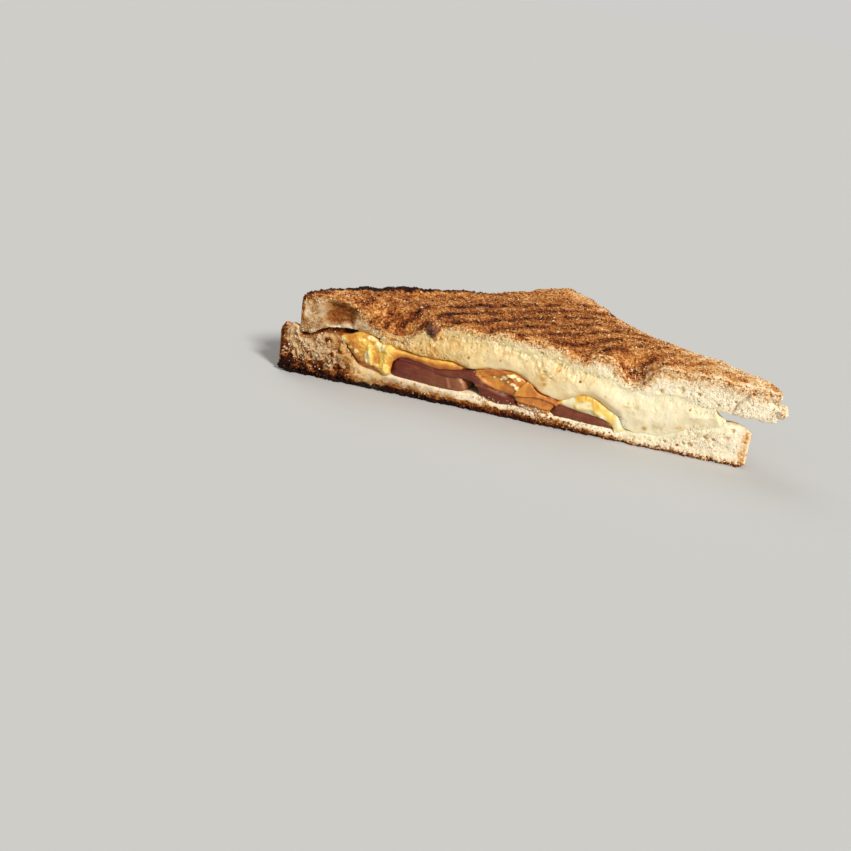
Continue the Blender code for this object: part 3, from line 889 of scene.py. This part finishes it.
tone += rightwards * (0.5 + 0.08 * drift(points, 2.0, 67) + 0.12 * smooth(share, 0.3, 0.8))
at_front = fade(y, 0.2, 1.4)
over_white = at_front * fade(high - z, 0.0, 2.6) * smooth(x, 11, 14) * fade(x, 29, 32)
lipped = points + over_white[:, None] * (0, 0, 1.3)
for k, (at, size) in enumerate(YELLOW_PATCHES):
    patch = spot(lipped, at, size, 70 + k, 0.45) * smooth(x, 12, 13)
    tone += patch * (0.69 + 0.06 * drift(points, 0.8, 71) - tone)
    relief += patch * (0.1 + 0.12 * drift(points, 0.9, 72))
tail = stroke(points, YELLOW_TAIL, 1.0, 75)
tone += tail * (0.76 - tone)
relief += 0.4 * stroke(points, PINK_STRIP, 0.7, 76) * rightwards
for k, (at, size, pale) in enumerate(LEFT_LUMPS + MIDDLE_LUMPS):
    lump = spot(points, at, size, 80 + k, 0.25)
    relief += lump * (0.4 + 0.15 * rough(points, 0.9, 98))
    tone += lump * (pale - 0.05 * rough(points, 0.8, 99) - tone)
for line, width, level in ((LEFT_DRIP, 0.8, 0.84), (LEFT_RUN, 1.6, 0.78)):
    run = stroke(points, line, width, 95) * leftwards
    relief += 0.8 * run
    tone += run * (level - tone)
dark_pocket = 0.7 * spot(points, (-59.5, 9.0), (2.8, 1.6), 96)
dark_pocket = most(dark_pocket, spot(points, (-52.4, 8.2), (0.9, 0.6), 97))
tone -= 0.3 * dark_pocket
relief -= 0.4 * dark_pocket
runs_out = at_front * fade(z - low, 0.0, 2.4) * fade(x, -53, -48)
runs_out = most(runs_out, at_front * fade(high - z, 0.0, 2.0) * fade(x, -59, -55))
points = points + facing * (relief * cut * (1 - runs_out))[:, None]
points[:, 1] += runs_out * (0.7 - points[:, 1]) + 1.0 * over_white**2
points[:, 2] += over_white * (1.3 + 0.5 * drift(points, 2.0, 100))
points[:, 2] -= TAIL_DROP * smooth(x, 25.5, 31.0) * (1 - share) * fade(y, 4, 8)
points[:, 0] += 1.2 * smooth(x, 32.4, 33.4)
place(orange, points)
paint(orange, tone=tone * cut + 0.5 * (1 - cut))


def cheese_material(name, stops, grain_size, unevenness, sunk):
    """Melted cheese: smooth and oily, with light sinking into it."""
    material, tree, surface = new_material(name, 0.45, sunk, 0.38, 0.08)
    tone = mask(tree, "tone")
    curd = grain(tree, grain_size, 0.6)
    colour = ramp(tree, maths(tree, "MULTIPLY_ADD", curd, unevenness, tone), stops)
    tree.links.new(colour, surface.inputs["Base Color"])
    tree.links.new(maths(tree, "MULTIPLY_ADD", curd, 0.14, 0.36), surface.inputs["Roughness"])
    set_bump(tree, surface, grain(tree, grain_size, 0.6), 0.1, 0.7)
    return material


orange_cheese = cheese_material("orange_cheese", [
    (0.0, (0.14, 0.03, 0.012)),
    (0.18, (0.33, 0.08, 0.02)),
    (0.36, (0.53, 0.175, 0.032)),
    (0.54, (0.68, 0.31, 0.05)),
    (0.7, (0.8, 0.5, 0.085)),
    (0.8, (0.84, 0.62, 0.17)),
    (0.9, (0.87, 0.74, 0.4)),
    (1.0, (0.9, 0.83, 0.62)),
], 1.1, 0.07, 1.3)
orange.data.materials.append(orange_cheese)
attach(orange, "root")
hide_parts("cheese_orange")

# ---------------------------------------------------------------------------------------------------------
# White cheese: a thick layer that melted into the bread over it and swelled out of the cut. It is cream
# coloured, yellower towards the left, and carries brown spots and specks from the hot plate.
# ---------------------------------------------------------------------------------------------------------
BROWN_SPOTS = [
    # middle (along, up), half width, how brown
    ((-20.1, 18.3), 0.55, 0.75), ((-19.8, 21.6), 0.35, 0.6), ((-14.9, 18.2), 0.35, 0.55),
    ((-9.7, 19.3), 0.45, 0.7), ((-1.1, 20.9), 0.4, 0.65), ((5.1, 16.2), 0.75, 0.6),
    ((5.8, 14.6), 0.7, 0.62), ((4.6, 17.6), 0.5, 0.5), ((17.0, 17.7), 0.5, 0.95),
    ((9.8, 20.2), 1.1, 0.46), ((9.8, 20.0), 0.5, 0.72), ((26.0, 14.6), 0.35, 0.5),
    ((40.0, 6.6), 1.0, 0.58), ((52.8, 15.8), 0.4, 0.8), ((56.3, 15.3), 0.3, 0.7),
    ((44.0, 12.5), 0.25, 0.4), ((-40.0, 15.3), 0.3, 1.0), ((-28.2, 16.2), 0.3, 0.95),
    ((-30.6, 16.9), 0.3, 0.9), ((-33.5, 19.6), 0.3, 0.8), ((-36.5, 17.4), 0.35, 0.85),
    ((-32.0, 19.2), 0.3, 0.8), ((-3.0, 18.0), 0.3, 0.5), ((12.6, 17.0), 0.25, 0.5),
    ((-24.5, 20.4), 0.3, 0.6), ((-6.4, 22.3), 0.35, 0.5), ((1.8, 19.2), 0.35, 0.45),
    ((21.5, 18.6), 0.4, 0.4),
]
YELLOW_TINTS = [(44.1, 8.0), (51.0, 8.8), (58.6, 11.1), (32.9, 12.8), (35.0, 13.4)]

white = sculptable("cheese_white_melted", "cheese_white", CHEESE_SKIN)
cling(white, ["bread_upper", "bread_lower", "cheese_orange", "sausage_right"], 3.5)
even_skin(white, CHEESE_SKIN)
refine_cut(white, 2)
points, facing, cut, low, high, share = cut_zones(white, 4)
x, y, z = points[:, 0], points[:, 1], points[:, 2]
thick = smooth(high - low, 0.8, 4.0)
at_front = fade(y, 0.2, 1.4)
under_bread = at_front * fade(high - z, 0.0, 4.2) * fade(x, 59, 63)
thinning = smooth(x, 59.0, 64.2)
on_bread = at_front * fade(z - low, 0.0, 4.2) * smooth(x, 33, 37)
runs_out = most(most(under_bread, on_bread), at_front * smooth(x, 60.5, 64.0))
foamy = smooth(share + 0.2 * drift(points, 4.0, 105), 0.3, 0.8) * (1 - 0.65 * smooth(x, 8, 34))
foamy = most(foamy, fade(x + 3 * drift(points, 5, 109), -30, -14))
holes = most(pores(points, 2.6, 0.5, 0.4, 4), 0.6 * pores(points, 1.3, 0.6, 0.42, 5))
over_orange = at_front * fade(z - low, 0.0, 2.6) * smooth(x, 11, 14) * fade(x, 30, 33)
nick = smooth(-facing[:, 0], 0.2, 0.6) * smooth(x, 31.5, 33) * fade(x, 36, 38) * fade(z, 10, 12)
points[:, 0] -= 1.6 * nick
swelling = (0.5 * thick - 0.45) * (1 - (2 * share - 1) ** 2) + 0.45 * drift(points, 6.5, 101)
points = points + facing * (swelling * cut * (1 - runs_out))[:, None]
points[:, 1] += runs_out * (0.26 - 0.31 * on_bread - points[:, 1]) + over_orange * 0.75
points[:, 2] -= 0.65 * thinning * (z - low)
points[:, 2] += under_bread * (1.5 + 0.9 * drift(points, 6.0, 141))
points[:, 2] -= on_bread * (1.1 + 0.7 * drift(points, 6.0, 142))
lumpy = 0.16 * drift(points, 2.8, 102) + foamy * (0.36 * rough(points, 2.3, 103) - 0.75 * holes)
lumpy += foamy * 0.14 * rough(points, 1.1, 106)
points[:, 1] -= at_front * lumpy
place(white, points)
tone = white_tone(points)
# Yellower where foamy, with painted shade in the holes.
tone += foamy * (0.05 + 0.1 * drift(points, 2.2, 104) + 0.14 * holes)
tone += 0.1 * fade(share, 0.0, 0.15) * fade(x, 10, 30)
# A yellower tint on the lower lip that faces down onto the bread: painted warm bounce light.
tone += 0.08 * on_bread
tone += 0.16 * smooth(x, -6, 3) * fade(x, 8, 16) * spot(points, (4.5, 15.5), (2.6, 3.2), 108)
for k, at in enumerate(YELLOW_TINTS):
    tone += 0.24 * spot(points, at, (2.2, 1.1), 170 + k, 0.5) * smooth(drift(points, 1.2, 143), -0.5, 0.3)
for k, (at, radius, level) in enumerate(BROWN_SPOTS):
    stain = spot(points, at, (radius, radius), 110 + k, 0.3)
    tone = most(tone, stain * level + (1 - stain) * tone)
away, own = dots(points, 1.7, 140)
speck_share = 0.18 - 0.13 * smooth(x, -20, 20)
specks = (own < speck_share) * fade(away, 0.07, 0.19)
tone = most(tone, specks * (0.45 + 2.0 * own))
paint(white, tone=tone)

white_cheese = cheese_material("white_cheese", WHITE_TONES, 1.5, 0.04, 1.6)
white.data.materials.append(white_cheese)
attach(white, "root")
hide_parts("cheese_white")

# ---------------------------------------------------------------------------------------------------------
# Upper slice of the same bread: a grainy top, striped by the hot plate, burnt along the left rind and pale
# along the right one. The knife crushed it in two places, and it is hollow inside its left tip.
# ---------------------------------------------------------------------------------------------------------
UPPER_PORES = [
    ((42.4, 19.6), 1.0), ((48.8, 21.3), 1.1), ((54.5, 21.2), 0.7), ((70.8, 24.7), 0.6), ((61.0, 19.0), 0.5),
    ((-20.8, 25.6), 0.8), ((-11.0, 26.2), 0.7), ((27.0, 21.8), 0.9), ((3.0, 24.0), 0.8), ((66.0, 21.0), 0.5),
]
TEAR = ((69.5, 24.0), (67.0, 20.5), (65.4, 17.4))
TORN_TIP = 78.6

upper = sculptable("bread_upper_baked", "bread_upper", BREAD_SKIN)
refine(upper, facings(upper)[:, 2] > 0.4)
refine_cut(upper, 1)
near_cut = places(upper)[:, 1] < CUT_DEPTH
refine(upper, near_cut & (facings(upper)[:, 2] < 0.55))
points = places(upper)
zones = slice_zones(upper, 0.0, True)
points[:, 2] -= 0.9 * fade(points[:, 1], 0.0, 2.6) * smooth(zones["height"], 0.45, 1.0)
left_lift = (0.0, 1.0, 2.6, 3.6, 3.6, 2.7, 1.2, 0.0)
left_lift = np.interp(points[:, 1], (8, 16, 26, 33, 42, 50, 58, 66), left_lift)
right_lift = np.interp(points[:, 1], (1, 6, 22, 34, 46), (0.0, 2.0, 2.1, 1.2, 0.0))
left_lift = left_lift * np.exp(-((zones["left_rind"] / 5.5) ** 2))
right_lift = right_lift * np.exp(-((zones["right_rind"] / 7.0) ** 2))
lifted = points[:, 2] + (left_lift + right_lift) * smooth(points[:, 2], 17, 23)
points[:, 2] = np.minimum(lifted, most(points[:, 2], 29.1))
place(upper, points)
zones = slice_zones(upper, 0.0, True)
points, x, y, z, cut, rind, toasted = (
    zones[name] for name in ("points", "x", "y", "z", "cut", "rind", "toasted")
)
from_toast, from_filling, left_rind, right_rind = (
    zones[name] for name in ("from_toast", "from_filling", "left_rind", "right_rind")
)

pits = crumb_pits(points) * (0.5 + 0.5 * smooth(x, 5, 40))
for k, (at, radius) in enumerate(UPPER_PORES):
    pits = most(pits, cut * spot(points, at, (radius, radius * 1.1), 150 + k, 0.2))
hollow = spot(points, (-65.8, 23.2), (6.0, 5.8), 160, 0.22) * cut
tear = stroke(points, TEAR, 0.5, 161) * cut
torn_tip = smooth(x + 0.8 * drift(points, 2.0, 159), TORN_TIP, TORN_TIP + 2.0) * fade(z, 25.2, 26.6)
marks = stripes(points, 1.75) * (1 - 0.5 * smooth(x, 30, 62))
relief = crumb_relief(zones, pits) * (1 - 0.2 * hollow) + rind_relief(zones) * (1 - torn_tip)
relief -= 3.2 * hollow + 0.9 * tear
relief += torn_tip * (0.75 * rough(points, 2.2, 158) - 0.1)
from_left = left_rind + 0.8 * drift(points, 3.5, 170) + 0.5 * drift(points, 1.4, 171)
from_right = right_rind + 1.2 * drift(points, 5, 172)
char_width = 3.4 - 1.4 * smooth(y, 18, 46)
charred = fade(from_left, 0.6 * char_width, 1.3 * char_width) * smooth(y, 6, 18) * fade(y, 46, 60)
toast_relief = 0.3 * rough(points, 1.5, 162) + 0.3 * drift(points, 5, 163) - 0.25 * marks
toast_relief -= 0.38 * pores(points, 2.0, 0.45, 0.45, 164)
toast_relief += 0.4 * charred * np.exp(-(((left_rind - 1.2) / 1.3) ** 2))
relief += toasted * toast_relief
edge = fade(from_toast, 0.3, 2.4) * cut
relief += edge * 0.4 * rough(points, 1.4, 165)
melted = smooth(x, -50, -44) * fade(x, 62, 67)
notch = stroke(points, ((84, 23.9), (77.4, 22.8)), 0.8, 157) * (x > 74)
relief -= 1.8 * notch
wet = melted * cut * fade(from_filling, 0.6, 2.0)
place(upper, points + zones["facing"] * (relief * (1 - 0.8 * wet))[:, None])

level = 0.455 + 0.05 * drift(points, 15, 173) + 0.08 * drift(points, 5, 174) + 0.08 * rough(points, 1.8, 175)
level += 0.3 * marks - 0.1 * smooth(x, 5, 45)
away, own = dots(points, 3.3, 185)
level += 0.2 * (own < 0.28) * fade(away, 0.1, 0.34)
messy = fade(x + 0.35 * y, -56, -22)
level += messy * (0.18 * drift(points, 4, 176) + 0.1 * rough(points, 1.7, 186))
level -= 0.14 * fade(from_right, 1.5, 13) + 0.06 * smooth(y, 50, 72) + 0.05 * smooth(x, 35, 60)
level += 0.6 * charred
nearest_rind = np.minimum(left_rind, right_rind) + 0.25 * drift(points, 1.5, 187)
level += fade(nearest_rind, 0.3, 1.3) * (0.26 + 0.1 * drift(points, 6, 188))
corner_burn = 5.4 - 2.6 * smooth(y, 3, 14)
corner_burn = fade(left_rind + 0.5 * drift(points, 2, 195), 0.6 * corner_burn, corner_burn)
level += 0.32 * corner_burn * fade(y, 14, 24)
level -= 0.1 * fade(y + drift(points, 2.5, 177), 0.0, 3.0) * smooth(x, -30, -10)
ragged = (2.9 + 0.5 * messy) * (1 + 0.6 * drift(points, 2.0, 178) + 0.4 * drift(points, 6, 179))
through = fade(from_toast, -0.4, most(ragged, 0.6))
fringe = fade(from_toast, 1.6, 4.8 + 1.6 * drift(points, 4, 189)) * (1 - 0.4 * smooth(x, 30, 55))
left_edge = fade(x + 0.5 * drift(points, 1.6, 196), -78.9, -77.4)
brown = most(
    most(toasted, through * cut) * level,
    cut * fringe * (0.23 + 0.12 * rough(points, 1.3, 192)),
    rind * (0.5 + 0.12 * drift(points, 9, 180) - 0.1 * smooth(x, 0, 60)),
    zones["crust_at_cut"] * 0.5 * fade(x, 0, 10),
    # Painted shade in the hollow, on the brown scale.
    hollow * (0.36 + 0.09 * rough(points, 1.6, 197)),
    left_edge * 0.55 * smooth(z, 17, 23),
    # The left end of the cut is browner: partly its own colour, partly painted shade.
    cut * (0.13 + 0.11 * rough(points, 2.0, 194)) * fade(x, -58, -48),
) * (1 - 0.72 * torn_tip)
# Dull greyish-brown tint. At the left end it is partly the crumb's own stale colour and partly painted
# shade; in the hollow it is painted shade.
dull = fade(x + 3 * drift(points, 7, 181), -58, -44) * (0.75 + 0.45 * drift(points, 2.8, 182)) + hollow
# Painted shade in the tear's crease.
dull = most(dull, 0.5 * tear)
soak_height = 3.4 + 2.4 * drift(points, 3.0, 183) + 1.6 * fade(x, -30, 30)
soak = fade(from_filling, 0.3, most(soak_height, 1.2)) * smooth(x, -56, -46)
soak = soak * fade(x, 60, 68) * (1 - 0.35 * smooth(x, 30, 46)) * cut
even = most(0.85 * rind * fade(toasted, 0.1, 0.6) * (1 - torn_tip), 0.5 * hollow, wet)
tone = white_tone(points) + 0.1 * rough(points, 2.4, 193) * smooth(from_filling, 0.8, 2.5)
dull = dull * cut * (1 - 0.6 * soak)
# pit is painted shade in the air holes. dull is partly the crumb's own dull colour and partly painted shade.
paint(upper, brown=brown, pit=pits * cut, dull=dull, soak=soak, even=even, tone=tone)
upper.data.materials.append(toasted_bread)
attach(upper, "root")
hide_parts("bread_upper")

# ---------------------------------------------------------------------------------------------------------
# Burnt cheese: a dark blob that oozed out of the crushed edge and fried on the hot plate.
# ---------------------------------------------------------------------------------------------------------
blob_place = Matrix.Translation(cut_middle + Vector((-32.8, 0.4, 24.2)) * MM) @ Matrix.Rotation(0.5, 4, "Y")
blob_size = Matrix.Diagonal((3.3 * MM, 1.7 * MM, 1.9 * MM, 1.0))
blob_mesh = bpy.data.meshes.new("burnt_cheese")
with shaped(blob_mesh) as shape:
    bmesh.ops.create_icosphere(shape, subdivisions=5, radius=1.0, matrix=blob_place @ blob_size)
blob_mesh.shade_smooth()
blob = new_object("burnt_cheese", blob_mesh)
points = places(blob)
place(blob, points + facings(blob) * (0.6 * rough(points, 1.5, 190))[:, None])
pale_side = smooth(points[:, 0] - 0.8 * (points[:, 2] - 24), -32.6, -30.5)
tone = 0.9 + 0.2 * drift(points, 1.4, 191) - 0.35 * pale_side
paint(blob, tone=tone)
blob_mesh.materials.append(white_cheese)
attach(blob, "root")

# ---------------------------------------------------------------------------------------------------------
# Toast grains: the crumb's walls dried, cracked and browned on the hot plate into small hard grains.
# ---------------------------------------------------------------------------------------------------------
TOAST_GRAINS = 9400


def scatter(name, seats, sizes, chance, **masks):
    """Small uneven lumps joined into one mesh, with one value of each mask for each lump."""
    mesh = bpy.data.meshes.new(name)
    with shaped(mesh) as shape:
        bmesh.ops.create_icosphere(shape, subdivisions=1, radius=1.0)
        corners = len(shape.verts)
        ball = np.array([corner.co for corner in shape.verts])
        while len(shape.verts) < corners * len(seats):
            bmesh.ops.duplicate(shape, geom=shape.verts[:] + shape.edges[:] + shape.faces[:])
        bmesh.ops.delete(shape, geom=shape.verts[corners * len(seats):], context="VERTS")
    piece = new_object(name, mesh)
    lumps = []
    for seat, size in zip(seats, sizes):
        turn = np.array(Euler([chance.uniform(0, math.tau) for _ in range(3)]).to_matrix())
        stretch = (size, size * chance.uniform(0.6, 1), size * chance.uniform(0.4, 0.8))
        uneven = [[chance.uniform(0.8, 1.2)] for _ in range(corners)]
        lumps.append((np.array(seat) - np.array(cut_middle)) / MM + (ball * stretch * uneven) @ turn.T)
    place(piece, np.concatenate(lumps))
    paint(piece, **{key: np.repeat(values, corners) for key, values in masks.items()})
    return piece


def mask_of(piece, name):
    values = np.empty(len(piece.data.vertices), np.float32)
    piece.data.attributes[name].data.foreach_get("value", values)
    return values


def finish_bits(piece, material):
    piece.data.materials.append(material)
    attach(piece, "root")


chance = random.Random(11)
top_skin = ray_skin(upper.data)
top_brown = mask_of(upper, "brown")
seats, sizes, browns = [], [], []
while len(seats) < TOAST_GRAINS:
    along, inward = chance.uniform(-SLICE_REACH, SLICE_REACH), chance.uniform(0.0, SLICE_REACH)
    if abs(along) + inward > SLICE_REACH - 0.9:
        continue
    start = cut_middle + Vector((along, inward, 60)) * MM
    spot_hit, way, face, _ = top_skin.ray_cast(start, Vector((0, 0, -1)))
    if spot_hit is None or way.z < 0.35:
        continue
    size = chance.uniform(0.14, 0.32) + 0.24 * chance.random() ** 4
    seats.append(spot_hit + way * size * 0.15 * MM)
    sizes.append(size)
    under = top_brown[upper.data.polygons[face].vertices[0]]
    browns.append(under * (1 + chance.gauss(0.0, 0.3)))
toast_grains = scatter("toast_grains", seats, sizes, chance, brown=np.array(browns))
finish_bits(toast_grains, toasted_bread)

# ---------------------------------------------------------------------------------------------------------
# Crumbs: torn loose by the knife, pale ones along the pressed crumb and brown ones at the toasted edges.
# ---------------------------------------------------------------------------------------------------------
CRUMB_HEAPS = [
    # middle (along, up), half width, half height, how many, brown, largest size
    ((1.0, 4.4), 6.0, 1.5, 230, 0.08, 0.42), ((-14.0, 5.0), 7.0, 0.8, 90, 0.2, 0.34),
    ((-36.0, 3.4), 12.0, 1.2, 100, 0.3, 0.36), ((10.0, 2.6), 9.0, 1.1, 200, 0.36, 0.5),
    ((20.0, 3.0), 8.0, 0.9, 110, 0.1, 0.45), ((-72.0, 4.5), 12.0, 3.5, 420, 0.72, 0.4),
    ((-42.0, 1.3), 16.0, 0.9, 260, 0.97, 0.46), ((2.0, 1.7), 26.0, 1.0, 330, 0.7, 0.46),
    ((52.0, 0.9), 20.0, 0.7, 240, 0.5, 0.5), ((-76.0, 11.0), 8.0, 5.0, 260, 0.16, 0.42),
    ((62.0, 20.5), 16.0, 5.0, 700, 0.03, 0.34), ((58.0, 6.0), 14.0, 5.0, 650, 0.03, 0.34),
    ((32.0, 22.0), 16.0, 2.4, 260, 0.06, 0.32), ((79.5, 20.5), 2.6, 3.0, 160, 0.08, 0.48),
    ((-72.0, 20.0), 8.0, 5.0, 220, 0.18, 0.32),
]
EDGE_CRUMBS, EDGE_DEPTH = 1700, 1.5


def front_hit(skins, along, up):
    """The first surface met from the front at a place on the cut."""
    start = cut_middle + Vector((along, -20, up)) * MM
    hits = [skin.ray_cast(start, Vector((0, 1, 0)), 30 * MM) for skin in skins]
    hits = [hit for hit in hits if hit[0] is not None]
    return min(hits, key=lambda hit: hit[3]) if hits else None


in_front = (lower, slab, thin_slice, right_slice, orange, white, upper)
front_skins = [ray_skin(piece.data) for piece in in_front]
seats, sizes, browns = [], [], []


def add_crumb(along, up, largest, brownness):
    in_hollow = math.hypot((along + 65.8) / 7.0, (up - 23.2) / 6.0) < 1
    hit = None if in_hollow else front_hit(front_skins, along, max(up, 0.35))
    size = 0.13 + (largest - 0.13) * chance.random() ** 2
    if hit is not None:
        seats.append(hit[0] + hit[1] * size * 0.2 * MM)
        sizes.append(size)
        browns.append(brownness + chance.gauss(0.0, 0.08))


for (along, up), half_width, half_height, number, brown_level, largest in CRUMB_HEAPS:
    for _ in range(number):
        place_along, place_up = chance.gauss(along, half_width * 0.55), chance.gauss(up, half_height * 0.6)
        add_crumb(place_along, place_up, largest, brown_level)
toast_line = cut_edges(places(upper), cut)[1]
order = np.argsort(x)
for _ in range(EDGE_CRUMBS):
    along, below = chance.uniform(-78, 79), abs(chance.gauss(0, EDGE_DEPTH))
    top = np.interp(along, x[order], toast_line[order])
    add_crumb(along, top - 0.2 - below, 0.4, 0.46 * math.exp(-below / 1.6))
crumbs = scatter("bread_crumbs", seats, sizes, chance, brown=np.array(browns))
finish_bits(crumbs, toasted_bread)
